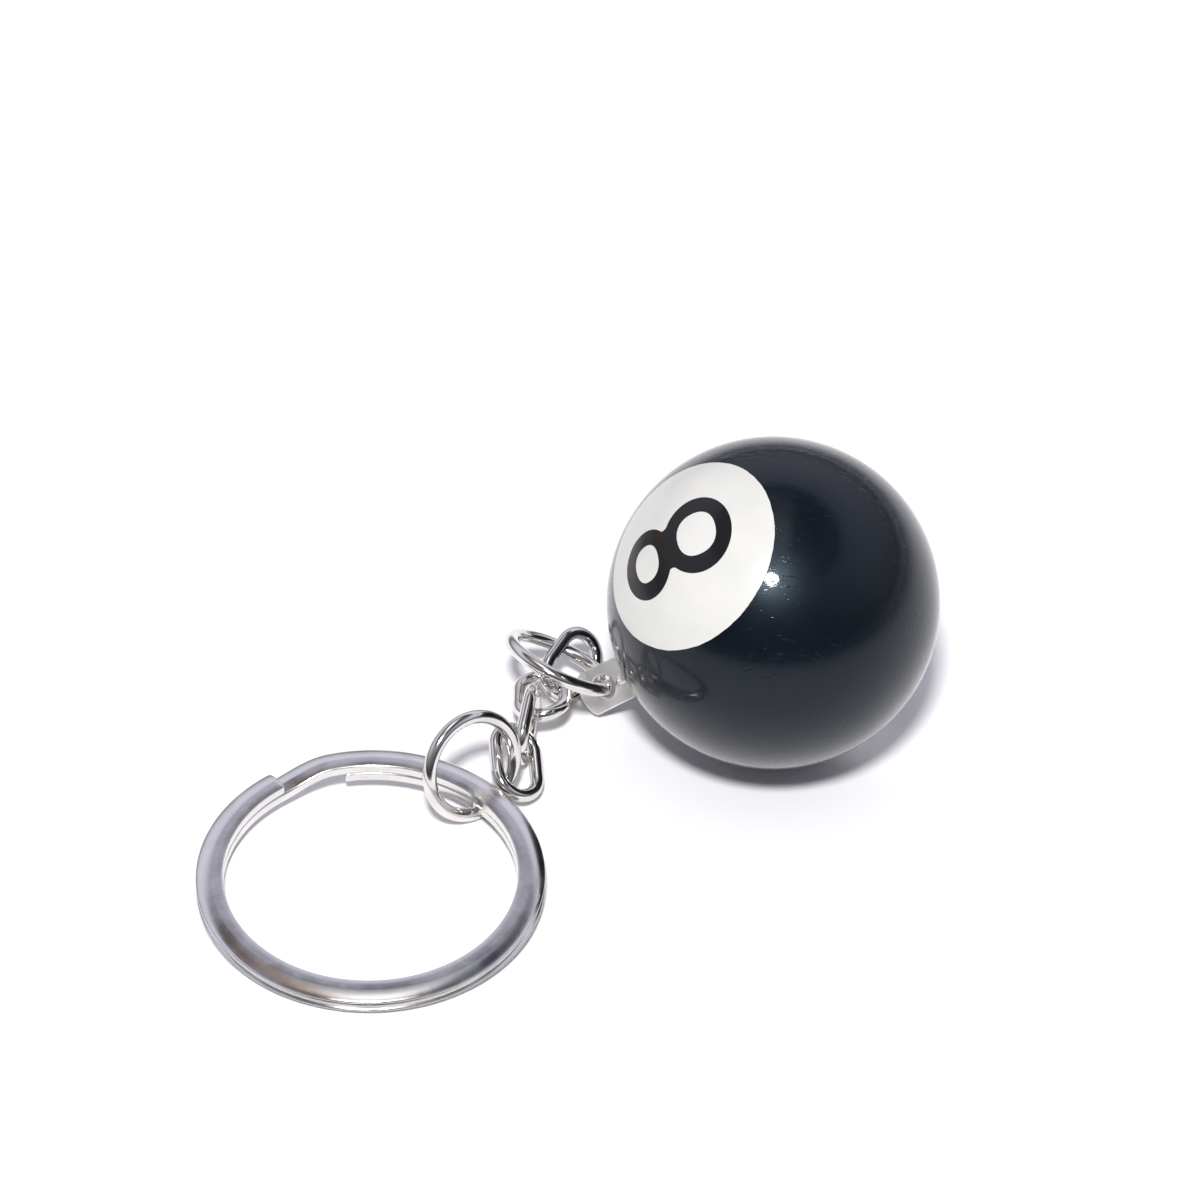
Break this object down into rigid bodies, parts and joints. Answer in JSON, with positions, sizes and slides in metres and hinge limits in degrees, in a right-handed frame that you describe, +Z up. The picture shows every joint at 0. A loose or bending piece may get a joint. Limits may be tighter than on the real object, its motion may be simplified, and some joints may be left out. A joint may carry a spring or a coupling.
{
  "type": "numbered pool ball on a key chain",
  "caption": "Black 25 mm pool ball with a white number disc and the figure 8, fitted with an eye tab, a short link chain and a double-coil split key ring.",
  "frame": {"origin": "middle of the whole object's bounding box in X and Y, on the surface that it lies on in Z", "axes": "+Z up from the surface; +X from the split key ring towards the ball, along the object's longest extent; +Y towards the ball's far side"},
  "size_m": [0.0548, 0.0448, 0.025],
  "materials": {
    "ball_black": "cast resin polished to a mirror gloss, with a few fine scuffs",
    "number_white": "polished white inlay",
    "numeral_black": "polished black inlay, faintly brown at its edges",
    "tab_nickel": "nickel plated, stamped flat, slightly soft reflection",
    "jump_ring_nickel": "bright nickel plate",
    "link_nickel": "bright nickel plate",
    "split_ring_nickel": "bright nickel plate on flattened wire"
  },
  "bodies": {
    "ball": {"ball_body": "ball_black", "number_disc_front": "number_white", "number_disc_rear": "number_white", "numeral_front": "numeral_black", "numeral_rear": "numeral_black", "eye_tab": "tab_nickel"},
    "tab_ring": {"tab_jump_ring": "jump_ring_nickel"},
    "link_1": {"chain_link_1": "link_nickel"},
    "link_2": {"chain_link_2": "link_nickel"},
    "link_3": {"chain_link_3": "link_nickel"},
    "link_4": {"chain_link_4": "link_nickel"},
    "key_end_ring": {"key_jump_ring": "jump_ring_nickel"},
    "key_ring": {"split_ring": "split_ring_nickel"}
  },
  "joints": [
    {"name": "tab_ring_swing", "type": "hinge", "parent": "ball", "child": "tab_ring", "pos_m": [0.00254, 0.01118, 0.00256], "axis": [-0.4268, -0.7928, 0.4352], "range_deg": [-54, 54]},
    {"name": "link_1_swing", "type": "hinge", "parent": "tab_ring", "child": "link_1", "pos_m": [0.00052, 0.01476, 0.00214], "axis": [0.8477, -0.4918, -0.1989], "range_deg": [-6, 28]},
    {"name": "link_2_swing", "type": "hinge", "parent": "link_1", "child": "link_2", "pos_m": [-0.0018, 0.01179, 0.00207], "axis": [-0.4032, 0.4561, 0.7934], "range_deg": [-50, 14]},
    {"name": "link_3_swing", "type": "hinge", "parent": "link_2", "child": "link_3", "pos_m": [-0.0031, 0.00775, 0.00262], "axis": [0.9338, -0.2973, 0.1992], "range_deg": [-62, 18]},
    {"name": "link_4_swing", "type": "hinge", "parent": "link_3", "child": "link_4", "pos_m": [-0.00375, 0.00388, 0.00251], "axis": [-0.0261, -0.0611, -0.9978], "range_deg": [-22, 7]},
    {"name": "key_end_ring_swing", "type": "hinge", "parent": "link_4", "child": "key_end_ring", "pos_m": [-0.00537, 0.00119, 0.0028], "axis": [0.2542, -0.8762, -0.4094], "range_deg": [-30, 8]},
    {"name": "key_ring_swing", "type": "hinge", "parent": "key_end_ring", "child": "key_ring", "pos_m": [-0.00921, -0.00222, 0.00194], "axis": [0.639, 0.1901, -0.7453], "range_deg": [0, 60]}
  ]
}
